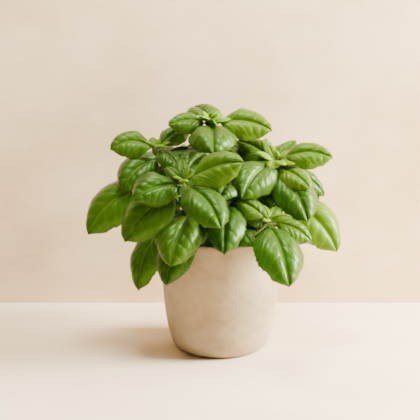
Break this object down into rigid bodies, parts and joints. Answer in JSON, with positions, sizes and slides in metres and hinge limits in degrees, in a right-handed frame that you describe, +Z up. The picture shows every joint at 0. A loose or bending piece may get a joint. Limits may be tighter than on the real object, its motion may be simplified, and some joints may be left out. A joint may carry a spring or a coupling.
{
  "type": "potted basil plant",
  "caption": "Bushy basil plant with glossy, veined leaves, standing in a round straight-rimmed stoneware pot of soil.",
  "frame": {"origin": "middle of the pot's flat underside, where it stands on the table", "axes": "+Z up out of the pot, -Y towards the front of the plant, +X to its right"},
  "size_m": [0.2797, 0.244, 0.2703],
  "materials": {
    "stoneware": "matte",
    "potting_mix": "matte",
    "stem_green": "satin",
    "leaf_green": "satin"
  },
  "bodies": {
    "root": {"leaf_back_left_back": "leaf_green", "leaf_back_left_in": "leaf_green", "leaf_back_left_low_back": "leaf_green", "leaf_back_left_low_out": "leaf_green", "leaf_back_left_out": "leaf_green", "leaf_back_right_back": "leaf_green", "leaf_back_right_in": "leaf_green", "leaf_back_right_low_back": "leaf_green", "leaf_back_right_low_out": "leaf_green", "leaf_back_right_out": "leaf_green", "leaf_crest_back": "leaf_green", "leaf_crest_front": "leaf_green", "leaf_crest_inner_left": "leaf_green", "leaf_crest_inner_right": "leaf_green", "leaf_crest_left": "leaf_green", "leaf_crest_low_left": "leaf_green", "leaf_crest_right": "leaf_green", "leaf_front_fore": "leaf_green", "leaf_front_left": "leaf_green", "leaf_front_low_fore": "leaf_green", "leaf_front_low_left": "leaf_green", "leaf_front_right": "leaf_green", "leaf_front_rim_left": "leaf_green", "leaf_heart_fore": "leaf_green", "leaf_heart_low_right": "leaf_green", "leaf_heart_rim_left": "leaf_green", "leaf_heart_rim_right": "leaf_green", "leaf_heart_small": "leaf_green", "leaf_left_back_right": "leaf_green", "leaf_left_drooping": "leaf_green", "leaf_left_front_left": "leaf_green", "leaf_left_front_right": "leaf_green", "leaf_left_low_out": "leaf_green", "leaf_left_out": "leaf_green", "leaf_low_right_fore": "leaf_green", "leaf_low_right_left": "leaf_green", "leaf_low_right_right": "leaf_green", "leaf_rear_hang": "leaf_green", "leaf_rear_left": "leaf_green", "leaf_rear_right": "leaf_green", "leaf_right_back": "leaf_green", "leaf_right_back_left": "leaf_green", "leaf_right_drop": "leaf_green", "leaf_right_front_left": "leaf_green", "leaf_right_front_right": "leaf_green", "leaf_right_inner": "leaf_green", "leaf_right_low_out": "leaf_green", "leaf_right_mid": "leaf_green", "leaf_right_out": "leaf_green", "pot": "stoneware", "soil": "potting_mix", "stem_back_left": "stem_green", "stem_back_right": "stem_green", "stem_crest": "stem_green", "stem_front": "stem_green", "stem_heart": "stem_green", "stem_left": "stem_green", "stem_low_right": "stem_green", "stem_rear": "stem_green", "stem_right": "stem_green"}
  },
  "joints": []
}
